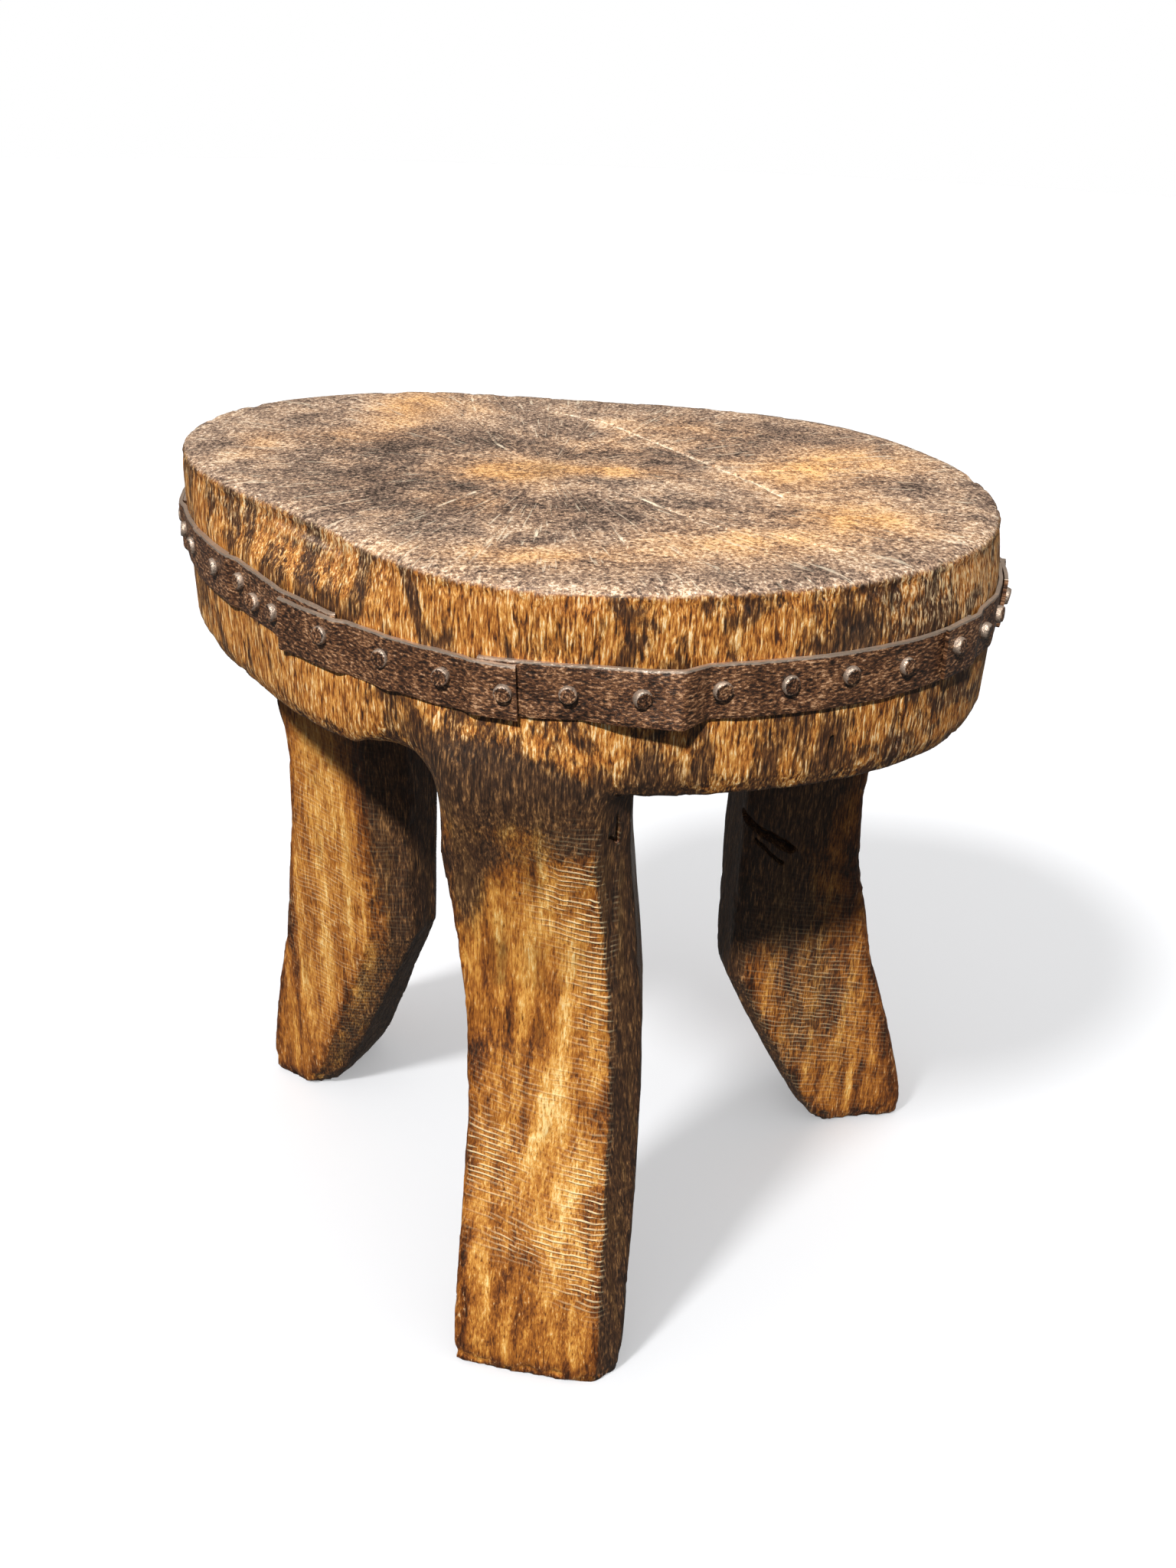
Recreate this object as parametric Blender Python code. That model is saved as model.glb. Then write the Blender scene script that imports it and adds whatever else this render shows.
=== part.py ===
"""Three-legged milking stool hewn from one log, with a nailed hoop-iron band round the seat."""

import math
from collections import namedtuple

import bmesh
import bpy
from mathutils import Matrix, Vector

# ---------------------------------------------------------------- sizes, in metres and degrees

STOOL_HEIGHT = 0.380
SEAT_WIDTH = 0.366
SEAT_DEPTH = 0.287
SEAT_THICKNESS = 0.084
RIM_RADIUS = 0.008
RIM_STEPS = 3
UNDERSIDE_BEVEL_IN = 0.003
UNDERSIDE_BEVEL_UP = 0.008

# the log is not round: each term is (order, share of the mean radius, direction of the bulge)
LOG_SHAPE = ((1, 0.134, 68.0), (2, 0.145, -44.0), (3, 0.076, 75.0), (4, 0.031, -108.0))
OUTLINE_STEP = 2.0

# the seat's side swells out below the worn rim: (amount, direction, spread) of each swelling
SWELLS = ((0.013, -148.0, 23.0), (0.004, -18.0, 32.0))

STRAP_WIDTH = 0.022
STRAP_THICKNESS = 0.0016
STRAP_BELOW_TOP = 0.0385
STRAP_ZONE_MARGIN = 0.005
FIT_GAP = 0.0003
JOGGLE_CLEAR = 0.8
JOGGLE_LENGTH = 2.0

NAIL_HEAD_RADIUS = 0.0031
NAIL_HEAD_HEIGHT = 0.0017
NAIL_SHANK_RADIUS = 0.0012
NAIL_DEPTH_IN_WOOD = 0.012
NAIL_HOLE_CLEARANCE = 0.0003
NAIL_SIDES = 8

LEG_ROOT_DEPTH = 0.018
SOLE_BEVEL = 0.002

# Each leg is a sector of the log. heading: the way the leg faces; reach: from the log's heart to
# the outer edge of the sole; aside: sideways offset of the leg's middle; lean: how far the middle
# drifts sideways on its way up; hollow: how far the outer face dips in behind the sole; root:
# outer face at the seat, measured from the sole's edge; knee: height of the bend in the inner
# face; thick: thickness at the knee; sole: length of the sole; half: half the width; spread:
# extra half width at the sole; flare: extra half width at the seat; taper_left, taper_right: how
# much each side closes in towards the heart; cut_left, cut_right: (across, inwards) size of the
# chamfer on each outer edge; inner_left, inner_right: the same on the inner edges
Leg = namedtuple("Leg", "heading reach aside lean hollow root knee thick sole half spread flare "
                        "taper_left taper_right cut_left cut_right inner_left inner_right")

LEGS = (
    Leg(150.7, 0.173, 0.0032, 0.0, 0.029, 0.010, 0.124, 0.077, 0.038, 0.0340, 0.0015, 0.005,
        0.024, 0.000, (0.004, 0.005), (0.002, 0.003), (0.010, 0.008), (0.014, 0.020)),
    Leg(10.5, 0.203, 0.0275, 0.0, 0.049, -0.022, 0.105, 0.081, 0.052, 0.0340, 0.0015, 0.005,
        0.000, 0.024, (0.002, 0.003), (0.004, 0.005), (0.007, 0.006), (0.012, 0.014)),
    Leg(-99.3, 0.1560, 0.0222, -0.013, 0.036, -0.022, 0.118, 0.074, 0.044, 0.0372, 0.0018, 0.002,
        0.010, 0.006, (0.001, 0.002), (0.012, 0.018), (0.010, 0.010), (0.008, 0.010)),
)

# start and end: visible or hidden ends round the seat; under: where the hidden end of the
# neighbour stops beneath this strap's start or end (None when nothing lies beneath);
# rise: height of the strap's middle above the band's line at its start and at its end
Strap = namedtuple("Strap", "start end under_start under_end rise_start rise_end")

STRAPS = (
    Strap(162.0, 192.0, 168.0, None, 0.0005, 0.0005),
    Strap(180.9, 227.0, 192.0, None, 0.0020, -0.0010),
    Strap(211.1, 263.9, 227.0, 257.0, -0.0025, -0.0015),
    Strap(257.0, 335.0, None, None, -0.0005, 0.0015),
    Strap(328.4, 357.0, 335.0, None, 0.0025, 0.0010),
    Strap(350.0, 424.0, 357.0, None, 0.0015, -0.0010),
    Strap(418.0, 478.0, 424.0, None, 0.0005, 0.0010),
    Strap(472.0, 528.0, 478.0, None, -0.0015, 0.0005),
)

# direction round the seat and height above the middle of the band
NAILS = (
    (172.0, 0.0015), (178.2, 0.0010), (188.8, 0.0030), (196.5, 0.0035), (201.1, -0.0010),
    (208.0, -0.0005), (224.4, 0.0005), (238.4, -0.0005), (250.8, -0.0005), (261.8, -0.0015),
    (271.8, -0.0005), (282.8, -0.0010), (294.7, 0.0010), (304.4, 0.0015), (313.1, 0.0030),
    (321.7, 0.0020), (330.5, 0.0050), (339.2, 0.0020), (346.0, 0.0015), (353.2, 0.0010),
    (0.8, 0.0025), (9.0, -0.0010), (18.0, 0.0015), (27.0, 0.0000), (36.0, -0.0020),
    (45.5, 0.0010), (53.5, -0.0005), (61.0, 0.0020), (70.5, 0.0010), (80.5, -0.0015),
    (90.0, 0.0005), (99.0, 0.0020), (107.5, -0.0005), (115.0, 0.0010), (123.0, -0.0010),
    (131.0, 0.0015), (139.0, 0.0000), (147.0, 0.0020), (155.0, -0.0010), (165.0, 0.0005),
)


# ---------------------------------------------------------------- start from an empty file

for old in list(bpy.data.objects):
    bpy.data.objects.remove(old, do_unlink=True)


# ---------------------------------------------------------------- the log's outline


def unit_radius(angle):
    total = 1.0
    for order, share, direction in LOG_SHAPE:
        total += share * math.cos(math.radians(order * angle - direction))
    return total


def angle_gap(a, b):
    return (a - b + 180.0) % 360.0 - 180.0


def swell_at(angle):
    total = 0.0
    for amount, direction, spread in SWELLS:
        total += amount * math.exp(-((angle_gap(angle, direction) / spread) ** 2))
    return total


STATIONS = int(round(360.0 / OUTLINE_STEP))
ANGLES = [k * OUTLINE_STEP for k in range(STATIONS)]
_raw = [Vector((unit_radius(a) * math.cos(math.radians(a)),
                unit_radius(a) * math.sin(math.radians(a)))) for a in ANGLES]
_scale_x = SEAT_WIDTH / (max(p.x for p in _raw) - min(p.x for p in _raw))
_scale_y = SEAT_DEPTH / (max(p.y for p in _raw) - min(p.y for p in _raw))
OUTLINE = [Vector((p.x * _scale_x, p.y * _scale_y)) for p in _raw]


def outward(a, b):
    run = (b - a).normalized()
    return Vector((run.y, -run.x))


CHORD_NORMALS = [outward(OUTLINE[k], OUTLINE[(k + 1) % STATIONS]) for k in range(STATIONS)]
CORNER_NORMALS = [(CHORD_NORMALS[k - 1] + CHORD_NORMALS[k]).normalized()
                  for k in range(STATIONS)]

BAND_Z = STOOL_HEIGHT - STRAP_BELOW_TOP
ZONE_TOP = BAND_Z + STRAP_WIDTH / 2 + STRAP_ZONE_MARGIN
ZONE_LOW = BAND_Z - STRAP_WIDTH / 2 - STRAP_ZONE_MARGIN
SEAT_UNDERSIDE = STOOL_HEIGHT - SEAT_THICKNESS


def swell_share(z):
    """Share of the swell reached at a height: none at the rim, most of it at the band."""
    if z >= ZONE_TOP:
        rim_foot = STOOL_HEIGHT - RIM_RADIUS
        return 0.7 * max(0.0, min(1.0, (rim_foot - z) / (rim_foot - ZONE_TOP)))
    return 0.7 + 0.3 * max(0.0, min(1.0, (ZONE_TOP - z) / (ZONE_TOP - ZONE_LOW)))


def corner(k, z, offset=0.0):
    """Point on the seat's side at outline corner k, moved outwards by offset."""
    k %= STATIONS
    out = swell_share(z) * swell_at(ANGLES[k]) + offset
    p = OUTLINE[k] + CORNER_NORMALS[k] * out
    return Vector((p.x, p.y, z))


def wall(angle, z, offset=0.0):
    """Point on the seat's faceted side in a direction, moved outwards by offset."""
    place = (angle % 360.0) / OUTLINE_STEP
    k = int(math.floor(place + 1e-9))
    part = place - k
    return corner(k, z, offset).lerp(corner(k + 1, z, offset), max(0.0, part))


def wall_normal(angle):
    """Outward normal of the facet that a direction meets, at the band."""
    k = int(math.floor((angle % 360.0) / OUTLINE_STEP + 1e-9))
    along = corner(k + 1, BAND_Z) - corner(k, BAND_Z)
    up = corner(k, ZONE_TOP) - corner(k, ZONE_LOW)
    return along.cross(up).normalized()


# ---------------------------------------------------------------- mesh helpers


def new_object(name, verts, faces, material=None):
    mesh = bpy.data.meshes.new(name)
    mesh.from_pydata([tuple(v) for v in verts], [], faces)
    obj = bpy.data.objects.new(name, mesh)
    bpy.context.scene.collection.objects.link(obj)
    if material is not None:
        mesh.materials.append(material)
    tidy(obj)
    return obj


def tidy(obj):
    bm = bmesh.new()
    bm.from_mesh(obj.data)
    bmesh.ops.remove_doubles(bm, verts=bm.verts, dist=0.000001)
    bmesh.ops.recalc_face_normals(bm, faces=bm.faces)
    bm.to_mesh(obj.data)
    bm.free()


def loft(name, rings, material=None):
    """Closed solid through a stack of rings with the same number of points."""
    count = len(rings[0])
    verts = [p for ring in rings for p in ring]
    faces = [tuple(reversed(range(count)))]
    for level in range(len(rings) - 1):
        low = level * count
        for k in range(count):
            n = (k + 1) % count
            faces.append((low + k, low + n, low + count + n, low + count + k))
    top = (len(rings) - 1) * count
    faces.append(tuple(range(top, top + count)))
    return new_object(name, verts, faces, material)


def apply_boolean(obj, cutter, operation):
    mod = obj.modifiers.new("cut", "BOOLEAN")
    mod.operation = operation
    mod.solver = "EXACT"
    mod.object = cutter
    cutter.hide_render = True
    cutter.display_type = "WIRE"
    depsgraph = bpy.context.evaluated_depsgraph_get()
    result = bpy.data.meshes.new_from_object(obj.evaluated_get(depsgraph))
    obj.modifiers.remove(mod)
    old = obj.data
    obj.data = result
    bpy.data.meshes.remove(old)
    bpy.data.objects.remove(cutter, do_unlink=True)


def principled(name, rgb, roughness, metallic=0.0):
    mat = bpy.data.materials.new(name)
    mat.use_nodes = True
    shader = mat.node_tree.nodes["Principled BSDF"]
    shader.inputs["Base Color"].default_value = (*rgb, 1.0)
    shader.inputs["Roughness"].default_value = roughness
    shader.inputs["Metallic"].default_value = metallic
    mat.diffuse_color = (*rgb, 1.0)
    return mat


WOOD = principled("old_hewn_wood", (0.32, 0.17, 0.07), 0.62)
STRAP_IRON = principled("rusted_hoop_iron", (0.10, 0.055, 0.035), 0.75, 0.35)
NAIL_IRON = principled("hammered_nail_iron", (0.13, 0.08, 0.06), 0.6, 0.5)


# ---------------------------------------------------------------- the seat, one slice of the log


def seat_ring(z, inset):
    return [corner(k, z, -inset) for k in range(STATIONS)]


def build_seat():
    rings = [seat_ring(SEAT_UNDERSIDE, UNDERSIDE_BEVEL_IN),
             seat_ring(SEAT_UNDERSIDE + UNDERSIDE_BEVEL_UP, 0.0),
             seat_ring(ZONE_LOW, 0.0),
             seat_ring(ZONE_TOP, 0.0)]
    for step in range(RIM_STEPS + 1):
        turn = math.radians(90.0 * step / RIM_STEPS)
        z = STOOL_HEIGHT - RIM_RADIUS * (1.0 - math.sin(turn))
        rings.append(seat_ring(z, RIM_RADIUS * (1.0 - math.cos(turn))))
    return loft("hewn_log_body", rings, WOOD)


# ---------------------------------------------------------------- the legs, hewn from the same log


def ease(t):
    t = max(0.0, min(1.0, t))
    return t * t * (3.0 - 2.0 * t)


HOLLOW_Z = 0.57 * STOOL_HEIGHT


def outer_face(leg, z):
    """Outer face of a leg, measured outwards from the outer edge of its sole."""
    if z <= HOLLOW_Z:
        return -leg.hollow * math.sin(0.5 * math.pi * z / HOLLOW_Z) ** 1.45
    t = min(1.0, (z - HOLLOW_Z) / (SEAT_UNDERSIDE - HOLLOW_Z))
    return -leg.hollow + (leg.hollow + leg.root) * t ** 2.2


def inner_face(leg, z):
    bend = -leg.thick + outer_face(leg, leg.knee)
    if z < leg.knee:
        return -leg.sole + (bend + leg.sole) * (z / leg.knee) ** 0.86
    fillet = 0.010 * ease((z - SEAT_UNDERSIDE + 0.030) / 0.030)
    return bend - fillet


def half_width(leg, z):
    foot = leg.spread * (1.0 - ease(z / 0.150))
    root = leg.flare * ease((z - SEAT_UNDERSIDE + 0.045) / 0.045)
    return leg.half + foot + root


def leg_section(leg, z, shrink=0.0):
    out = outer_face(leg, z) - shrink
    inn = inner_face(leg, z) + shrink
    half = half_width(leg, z) - shrink
    depth = out - inn
    closing = depth / leg.thick
    left = -half + leg.taper_left * closing
    right = half - leg.taper_right * closing
    cuts = []
    for across, inwards in (leg.cut_left, leg.cut_right, leg.inner_left, leg.inner_right):
        cuts.append((across * closing ** 0.5, inwards * closing))
    (al, il), (ar, ir), (bl, jl), (br, jr) = cuts
    bulge = 0.0015
    outline = [
        (out, -half + al), (out + bulge, -half * 0.3), (out + bulge, half * 0.3),
        (out, half - ar), (out - ir, half), (inn + jr, right),
        (inn, right - br), (inn, left + bl), (inn + jl, left), (out - il, -half),
    ]
    heading = math.radians(leg.heading)
    along = Vector((math.cos(heading), math.sin(heading)))
    across = Vector((-along.y, along.x))
    drift = leg.aside + leg.lean * ease((z - 0.130) / 0.170)
    ring = []
    for u, v in outline:
        p = along * (leg.reach + u) + across * (drift + v)
        ring.append(Vector((p.x, p.y, z)))
    return ring


def build_leg(index, leg):
    top = SEAT_UNDERSIDE + LEG_ROOT_DEPTH
    heights = [0.009, 0.021, 0.037, 0.056, 0.078, 0.102, leg.knee * 0.88, leg.knee,
               leg.knee * 1.10, 0.178, 0.200, HOLLOW_Z, 0.235, 0.250, 0.262, 0.273, 0.283,
               0.290]
    heights = [h for h in heights if h < SEAT_UNDERSIDE - 0.002] + [SEAT_UNDERSIDE, top]
    heights.sort()
    rings = [leg_section(leg, 0.0, SOLE_BEVEL), leg_section(leg, SOLE_BEVEL)]
    rings += [leg_section(leg, h) for h in heights]
    return loft("leg_%d" % index, rings, WOOD)


# ---------------------------------------------------------------- the hoop-iron straps


def strap_layer(strap, angle):
    """One where the strap rides over a neighbour's end, nought where it lies on the wood."""
    layer = 0.0
    if strap.under_start is not None:
        past = angle - strap.under_start - JOGGLE_CLEAR
        layer = max(layer, 1.0 - max(0.0, min(1.0, past / JOGGLE_LENGTH)))
    if strap.under_end is not None:
        past = strap.under_end - JOGGLE_CLEAR - angle
        layer = max(layer, 1.0 - max(0.0, min(1.0, past / JOGGLE_LENGTH)))
    return layer


def strap_offset(strap, angle):
    return FIT_GAP + strap_layer(strap, angle) * (STRAP_THICKNESS + FIT_GAP)


def strap_middle(strap, angle):
    t = (angle - strap.start) / (strap.end - strap.start)
    return BAND_Z + strap.rise_start + (strap.rise_end - strap.rise_start) * t


def strap_angles(strap):
    marks = {round(strap.start, 4), round(strap.end, 4)}
    first = math.ceil(strap.start / OUTLINE_STEP) * OUTLINE_STEP
    while first < strap.end:
        marks.add(round(first, 4))
        first += OUTLINE_STEP
    if strap.under_start is not None:
        marks.add(round(strap.under_start + JOGGLE_CLEAR, 4))
        marks.add(round(strap.under_start + JOGGLE_CLEAR + JOGGLE_LENGTH, 4))
    if strap.under_end is not None:
        marks.add(round(strap.under_end - JOGGLE_CLEAR, 4))
        marks.add(round(strap.under_end - JOGGLE_CLEAR - JOGGLE_LENGTH, 4))
    kept = []
    for mark in sorted(marks):
        if not kept or mark - kept[-1] > 0.05:
            kept.append(mark)
    return kept


def build_strap(number, strap):
    rings = []
    for angle in strap_angles(strap):
        inner = strap_offset(strap, angle)
        outer = inner + STRAP_THICKNESS
        middle = strap_middle(strap, angle)
        low, high = middle - STRAP_WIDTH / 2, middle + STRAP_WIDTH / 2
        rings.append([wall(angle, low, inner), wall(angle, low, outer),
                      wall(angle, high, outer), wall(angle, high, inner)])
    return loft("hoop_iron_strap_%d" % number, rings, STRAP_IRON)


# ---------------------------------------------------------------- the nails


def straps_at(angle):
    found = []
    for number, strap in enumerate(STRAPS, start=1):
        for turn in (0.0, 360.0):
            if strap.start < angle + turn < strap.end:
                found.append((number, strap, angle + turn))
    return found


def nail_seat(angle, rise):
    """Top surface under a nail's head: a point on the axis, the axis, and the straps pierced."""
    pierced = straps_at(angle)
    top = max(strap_offset(s, a) for _, s, a in pierced) + STRAP_THICKNESS
    return wall(angle, BAND_Z + rise, top), wall_normal(angle), top, [n for n, _, _ in pierced]


def axis_frame(point, axis):
    turn = Vector((0.0, 0.0, 1.0)).rotation_difference(axis).to_matrix().to_4x4()
    return Matrix.Translation(point) @ turn


def turned(name, profile, frame, material=None):
    """Solid of revolution about the frame's Z through (radius, height) pairs."""
    rings = []
    for radius, height in profile:
        ring = []
        for k in range(NAIL_SIDES):
            a = 2.0 * math.pi * (k + 0.5) / NAIL_SIDES
            ring.append(frame @ Vector((radius * math.cos(a), radius * math.sin(a), height)))
        rings.append(ring)
    return loft(name, rings, material)


def build_nail(name, point, axis, top):
    reach = -(top + NAIL_DEPTH_IN_WOOD)
    profile = [
        (NAIL_SHANK_RADIUS * 0.35, reach),
        (NAIL_SHANK_RADIUS, reach + 0.004),
        (NAIL_SHANK_RADIUS, FIT_GAP),
        (NAIL_HEAD_RADIUS, FIT_GAP),
        (NAIL_HEAD_RADIUS * 0.94, FIT_GAP + NAIL_HEAD_HEIGHT * 0.45),
        (NAIL_HEAD_RADIUS * 0.55, FIT_GAP + NAIL_HEAD_HEIGHT),
    ]
    return turned(name, profile, axis_frame(point, axis), NAIL_IRON)


def hole_cutter(name, point, axis, top):
    radius = NAIL_SHANK_RADIUS + NAIL_HOLE_CLEARANCE
    low = -(top + NAIL_DEPTH_IN_WOOD + 0.001)
    return turned(name, [(radius, low), (radius, 0.004)], axis_frame(point, axis))


def joined(objects):
    """One object from several separate ones."""
    bm = bmesh.new()
    for obj in objects:
        bm.from_mesh(obj.data)
        bpy.data.objects.remove(obj, do_unlink=True)
    mesh = bpy.data.meshes.new("cutters")
    bm.to_mesh(mesh)
    bm.free()
    obj = bpy.data.objects.new("cutters", mesh)
    bpy.context.scene.collection.objects.link(obj)
    return obj


# ---------------------------------------------------------------- put together

body = build_seat()
for leg_number, leg_sizes in enumerate(LEGS, start=1):
    apply_boolean(body, build_leg(leg_number, leg_sizes), "UNION")

straps = {}
for strap_number, strap_sizes in enumerate(STRAPS, start=1):
    straps[strap_number] = build_strap(strap_number, strap_sizes)

wood_holes = []
strap_holes = {n: [] for n in straps}
nails = []
for nail_number, (nail_angle, nail_rise) in enumerate(NAILS, start=1):
    seat_point, nail_axis, seat_top, through = nail_seat(nail_angle, nail_rise)
    nails.append(build_nail("clout_nail_%02d" % nail_number, seat_point, nail_axis, seat_top))
    wood_holes.append(hole_cutter("hole", seat_point, nail_axis, seat_top))
    for n in through:
        strap_holes[n].append(hole_cutter("hole", seat_point, nail_axis, seat_top))

apply_boolean(body, joined(wood_holes), "DIFFERENCE")
for n, cutters in strap_holes.items():
    if cutters:
        apply_boolean(straps[n], joined(cutters), "DIFFERENCE")

everything = [body, *straps.values(), *nails]
xs = [v.co.x for o in everything for v in o.data.vertices]
ys = [v.co.y for o in everything for v in o.data.vertices]
shift = Vector((-(min(xs) + max(xs)) / 2, -(min(ys) + max(ys)) / 2, 0.0))
for obj in everything:
    obj.data.transform(Matrix.Translation(shift))
    obj.data.update()
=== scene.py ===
# %% [markdown]
# # A hewn milking stool, from one log
# The stool is one short length of trunk, turned on end. A maker sawed and hewed away the
# wood under the seat until three splayed legs stood out of it, then bound the seat with
# eight lengths of hoop iron held by clout nails, so that the drying cracks could not open
# it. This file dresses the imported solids: first it loads them as a fixed frame, in metres.

# %% Load the frame
import itertools
import math
from functools import partial

import bmesh
import bpy
import numpy as np
from mathutils import Matrix, Vector
from mathutils.bvhtree import BVHTree


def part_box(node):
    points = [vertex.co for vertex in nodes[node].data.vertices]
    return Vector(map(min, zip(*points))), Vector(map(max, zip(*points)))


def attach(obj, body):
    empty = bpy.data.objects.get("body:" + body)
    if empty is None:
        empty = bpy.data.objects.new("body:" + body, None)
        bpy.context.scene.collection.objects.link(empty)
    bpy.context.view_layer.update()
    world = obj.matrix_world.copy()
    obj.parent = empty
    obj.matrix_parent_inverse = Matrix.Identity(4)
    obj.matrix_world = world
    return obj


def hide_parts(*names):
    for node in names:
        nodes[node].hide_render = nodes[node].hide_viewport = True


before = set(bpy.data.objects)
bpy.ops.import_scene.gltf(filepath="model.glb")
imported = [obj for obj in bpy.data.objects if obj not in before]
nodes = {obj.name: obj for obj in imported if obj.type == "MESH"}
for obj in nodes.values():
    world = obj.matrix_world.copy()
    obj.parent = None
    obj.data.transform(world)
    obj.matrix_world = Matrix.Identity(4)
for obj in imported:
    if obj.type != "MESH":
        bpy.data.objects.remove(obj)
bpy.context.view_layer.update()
strap_names = sorted(n for n in nodes if n.startswith("hoop_iron_strap"))
nail_names = sorted(n for n in nodes if n.startswith("clout_nail"))
seat_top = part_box("hewn_log_body")[1].z
HEART = np.array([-0.00687, 0.00115])      # where the log's middle stands, from above
PITH = np.array([-0.0167, 0.0165])         # the tree grew a little off that middle
print("frame:", len(nodes), "solids, seat top at", round(seat_top * 1000, 1), "mm")

# %% [markdown]
# Colours are picked as sRGB hex values, the way a paint card shows them, and one function
# turns them linear for the shader. One helper adds any node with its settings and links,
# and hands back one of its outputs. Most masks here are a sum of several patterns, each
# with its own share, so a second helper lays out such a sum as a chain of nodes.

# %% Colour and node helpers
MM = 0.001
SMOOTH = {"interpolation_type": "SMOOTHSTEP"}
TIMES = {"operation": "MULTIPLY"}
COLOURS = {"data_type": "RGBA"}     # a colour Mix: 0 is how much, 6 and 7 the colours, 2 comes out


def linear(hex_colour):
    values = [int(hex_colour[i:i + 2], 16) / 255 for i in (1, 3, 5)]
    return tuple(v / 12.92 if v <= 0.04045 else ((v + 0.055) / 1.055) ** 2.4
                 for v in values) + (1.0,)


def add_node(tree, kind, settings=None, inputs=None, out=0):
    """Adds one node; an input is a plain value, or another node's output to link."""
    node = tree.nodes.new(kind)
    for name, value in (settings or {}).items():
        if name == "stops":
            ramp = node.color_ramp
            while len(ramp.elements) < len(value):
                ramp.elements.new(0.5)
            for element, (position, colour) in zip(ramp.elements, value):
                element.position = position
                element.color = linear(colour)
        else:
            setattr(node, name, value)
    for name, value in (inputs or {}).items():
        if isinstance(value, bpy.types.NodeSocket):
            tree.links.new(value, node.inputs[name])
        else:
            node.inputs[name].default_value = value
    return node.outputs[out] if len(node.outputs) else node


def weighted_sum(put, total, *terms):
    """Starts from a total, and adds each pattern times its share."""
    for source, share in terms:
        total = put("ShaderNodeMath", {"operation": "MULTIPLY_ADD"}, {0: source, 1: share, 2: total})
    return total


def limits(low, high, start=0.0, end=1.0):
    """The four limits of a Map Range: it runs from start to end as its value runs low to high."""
    return {"From Min": low, "From Max": high, "To Min": start, "To Max": end}


def new_material(name):
    material = bpy.data.materials.new(name)
    material.use_nodes = True
    material.node_tree.nodes.clear()
    return material


print("golden sapwood in linear light:", [round(v, 3) for v in linear("#D8A860")[:3]])
# %% [markdown]
# Wood that was shaped with an axe is never even, so the mesh itself has to roll and ripple.
# A smooth random field does that: values at the corners of a lattice are blended between
# them. The lattice cell is given in millimetres, so each ripple has a real size, and the
# cell can be tall and thin, as grain is.

# %% A random field with a real size
def lattice_value(ix, iy, iz, seed):
    mixed = ix * 374761393 + iy * 668265263 + iz * 1440662683 + seed * 974634777
    mixed = ((mixed ^ (mixed >> 13)) * 1274126177) & 0xFFFFFFFF
    return ((mixed ^ (mixed >> 16)) & 0xFFFF) / 32767.5 - 1.0


def ripple(points, cell_mm, seed):
    """Smooth values from -1 to 1, one for each point, with features of cell_mm."""
    q = points / (np.asarray(cell_mm) * MM)
    corner = np.floor(q).astype(np.int64)
    f = q - corner
    f = f * f * (3 - 2 * f)
    total = np.zeros(len(points))
    for step in itertools.product((0, 1), repeat=3):
        weight = np.prod(np.where(step, f, 1 - f), axis=1)
        total += weight * lattice_value(*(corner + step).T, seed)
    return total


def ramp01(value, low, high):
    t = np.clip((value - low) / (high - low), 0, 1)
    return t * t * (3 - 2 * t)


def blobs(points, spots):
    """Soft patches: each spot is x, y and z in mm, its reach along each, and a strength."""
    total = np.zeros(len(points))
    for *place_and_reach, strength in spots:
        centre, spread = np.reshape(place_and_reach, (2, 3))
        d = (points / MM - centre) / spread
        total += strength * np.exp(-np.sum(d * d, axis=1))
    return total


print("ripple field ready:", ripple(np.array([[0.01, 0.02, 0.03]]), (5, 5, 20), 1).round(3))
# %% [markdown]
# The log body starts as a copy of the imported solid. Its flat panels are rebuilt as an even
# skin of small quads (a voxel remesh), which softens every arris as years of use do, and
# gives the next steps points to move. A remesh was chosen over subdivision because the
# solid's panels are long and thin, and subdividing them would keep that uneven spacing.

# %% Copy and remesh the log
SKIN_STEP = 1.75 * MM


def add_object(name, data):
    thing = bpy.data.objects.new(name, data)
    bpy.context.scene.collection.objects.link(thing)
    return thing


def merged_copy(name, new_name):
    mesh = nodes[name].data.copy()
    mesh.materials.clear()
    bm = bmesh.new()
    bm.from_mesh(mesh)
    bmesh.ops.remove_doubles(bm, verts=bm.verts, dist=0.01 * MM)
    bm.to_mesh(mesh)
    bm.free()
    for attribute in [a.name for a in mesh.attributes if a.name.startswith("custom_normal")]:
        mesh.attributes.remove(mesh.attributes[attribute])
    return add_object(new_name, mesh)


def settle(piece):
    """Turns a piece with live modifiers into a plain mesh."""
    graph = bpy.context.evaluated_depsgraph_get()
    baked = bpy.data.meshes.new_from_object(piece.evaluated_get(graph))
    piece.modifiers.clear()
    piece.data = baked


def rows_of(collection, field, width=3, kind=np.float32):
    """Reads one field of all points or edges at once, as rows of numbers."""
    flat = np.zeros(len(collection) * width, kind)
    collection.foreach_get(field, flat)
    return flat.reshape(-1, width)


def points_of(mesh):
    return rows_of(mesh.vertices, "co").astype(float)


def normals_of(mesh):
    return rows_of(mesh.vertex_normals, "vector").astype(float)


def move_points(mesh, points):
    mesh.vertices.foreach_set("co", points.ravel())
    mesh.update()


def shade_smooth(mesh):
    mesh.polygons.foreach_set("use_smooth", [True] * len(mesh.polygons))


log_body = merged_copy("hewn_log_body", "hewn_log_stool")
skin = log_body.modifiers.new("even skin", "REMESH")
skin.mode = "VOXEL"
skin.voxel_size = SKIN_STEP
settle(log_body)
print("remeshed log:", len(log_body.data.vertices), "points")
# %% [markdown]
# Real splits and axe nicks are cuts with walls and a floor. Each is a polyline on the wood,
# with a width and a depth. The skin is cut finer beside each one, so that a split a
# millimetre wide has something to bend, and nowhere else, so the mesh stays light.

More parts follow.
